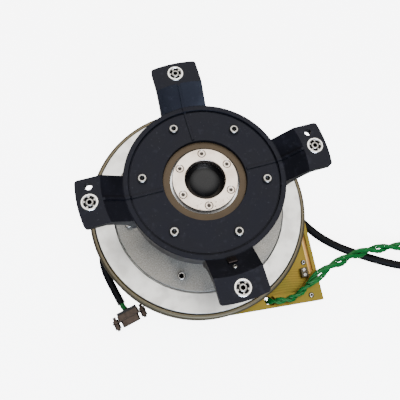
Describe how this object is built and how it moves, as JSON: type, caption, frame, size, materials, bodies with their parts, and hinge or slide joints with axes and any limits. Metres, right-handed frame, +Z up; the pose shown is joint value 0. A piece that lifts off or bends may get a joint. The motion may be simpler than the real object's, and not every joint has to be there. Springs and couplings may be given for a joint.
{
  "type": "electromagnetic clutch",
  "caption": "Shaft-mounted electromagnetic clutch: a passivated steel housing with a square corner around a turned rotor, a grey drive plate and a raised black four-arm output spider.",
  "frame": {"origin": "on the shaft's axis, in the flat bottom face of the field pot", "axes": "+Z up along the shaft from the field pot to the output spider; +X towards the side where the coil leads leave"},
  "size_m": [0.4298, 0.2674, 0.1284],
  "materials": {
    "gold_chromate": "yellow chromate on zinc, satin with an orange sheen",
    "rotor_face": "fine turned steel",
    "sleeve_steel": "ground steel",
    "grey_zinc": "dull grey plated steel",
    "spider_black": "near-black satin anodised",
    "shield_brown": "satin brown",
    "stainless": "fine ground stainless",
    "cap_black": "glossy moulded black",
    "black_oxide": "black oxide, satin",
    "plated_screw": "bright zinc plated",
    "eyelet_silver": "bright nickel plated",
    "bearing_steel": "polished bearing steel",
    "cage_brass": "machined brass",
    "spring_steel": "blued spring steel",
    "armature_steel": "ground steel",
    "bobbin_white": "moulded nylon",
    "copper_wire": "enamelled copper wire",
    "potting_resin": "cast resin",
    "sensor_body": "moulded black plastic",
    "cable_black": "matt black jacket",
    "wire_green": "green twisted insulated wire",
    "dsub_steel": "dark brown passivated steel",
    "dsub_plastic": "black moulded plastic",
    "pin_gold": "gold plated contacts",
    "connector_black": "black moulded nylon",
    "terminal_plastic": "moulded olive-brown plastic",
    "grommet_rubber": "black rubber",
    "index_steel": "dark burnished steel"
  },
  "bodies": {
    "field": {"base_housing": "gold_chromate", "field_pot": "gold_chromate", "pot_screws": "black_oxide", "base_screws": "plated_screw", "coil_bobbin": "bobbin_white", "coil_winding": "copper_wire", "coil_potting": "potting_resin", "terminal_strip": "terminal_plastic", "terminal_screws": "plated_screw", "field_bearing_outer": "bearing_steel", "field_circlip": "black_oxide", "speed_sensor": "sensor_body", "sensor_screws": "plated_screw", "sensor_cable": "cable_black", "pigtail_wires": "wire_green", "dsub_shell": "dsub_steel", "dsub_insulator": "dsub_plastic", "dsub_pins": "pin_gold", "dsub_jackposts": "dsub_steel", "power_outlet": "sensor_body", "power_cable": "cable_black", "power_coil": "cable_black", "power_connector": "connector_black", "lead_grommet": "grommet_rubber", "lead_pair": "wire_green", "lead_bundle": "wire_green", "lead_coil": "wire_green", "lead_connector": "connector_black"},
    "rotor": {"input_sleeve": "sleeve_steel", "rotor_disc": "rotor_face", "rotor_screws": "black_oxide", "tone_wheel": "rotor_face", "field_bearing_inner": "bearing_steel", "sleeve_circlip": "black_oxide", "hub_bearing_inners": "bearing_steel", "bearing_spacer": "sleeve_steel", "retainer_ring": "stainless", "retainer_screws": "stainless", "dome_cap": "cap_black"},
    "output": {"output_hub": "sleeve_steel", "carrier_plate": "grey_zinc", "carrier_hub_screws": "black_oxide", "spring_screws": "plated_screw", "spring_nuts": "plated_screw", "leaf_springs": "spring_steel", "hub_bearing_outers": "bearing_steel", "bearing_shield": "shield_brown", "spider": "spider_black", "spider_screws": "plated_screw", "arm_eyelets": "eyelet_silver", "arm_screws": "plated_screw", "index_block": "index_steel", "index_screw": "plated_screw"},
    "armature": {"armature_ring": "armature_steel", "armature_rivets": "plated_screw"},
    "field_cage": {"field_bearing_balls": "bearing_steel", "field_bearing_cage": "cage_brass"},
    "hub_cage": {"hub_bearing_balls": "bearing_steel", "hub_bearing_cages": "cage_brass"}
  },
  "joints": [
    {"name": "rotor_spin", "type": "hinge", "parent": "field", "child": "rotor", "pos_m": [0, 0, 0], "axis": [0, 0, 1], "continuous": true},
    {"name": "output_spin", "type": "hinge", "parent": "rotor", "child": "output", "pos_m": [0, 0, 0], "axis": [0, 0, 1], "continuous": true},
    {"name": "armature_slide", "type": "slide", "parent": "output", "child": "armature", "axis": [0, 0, -1], "range_m": [0, 0.00049], "stiffness_N_per_m": 20000, "springref_m": -0.0003, "deforming": ["leaf_springs"]},
    {"name": "field_cage_spin", "type": "hinge", "parent": "field", "child": "field_cage", "pos_m": [0, 0, 0], "axis": [0, 0, 1], "continuous": true},
    {"name": "hub_cage_spin", "type": "hinge", "parent": "rotor", "child": "hub_cage", "pos_m": [0, 0, 0], "axis": [0, 0, 1], "continuous": true}
  ],
  "couplings": [
    {"joint": "field_cage_spin", "follows": "rotor_spin", "ratio": 0.4526},
    {"joint": "hub_cage_spin", "follows": "output_spin", "ratio": 0.5513}
  ]
}
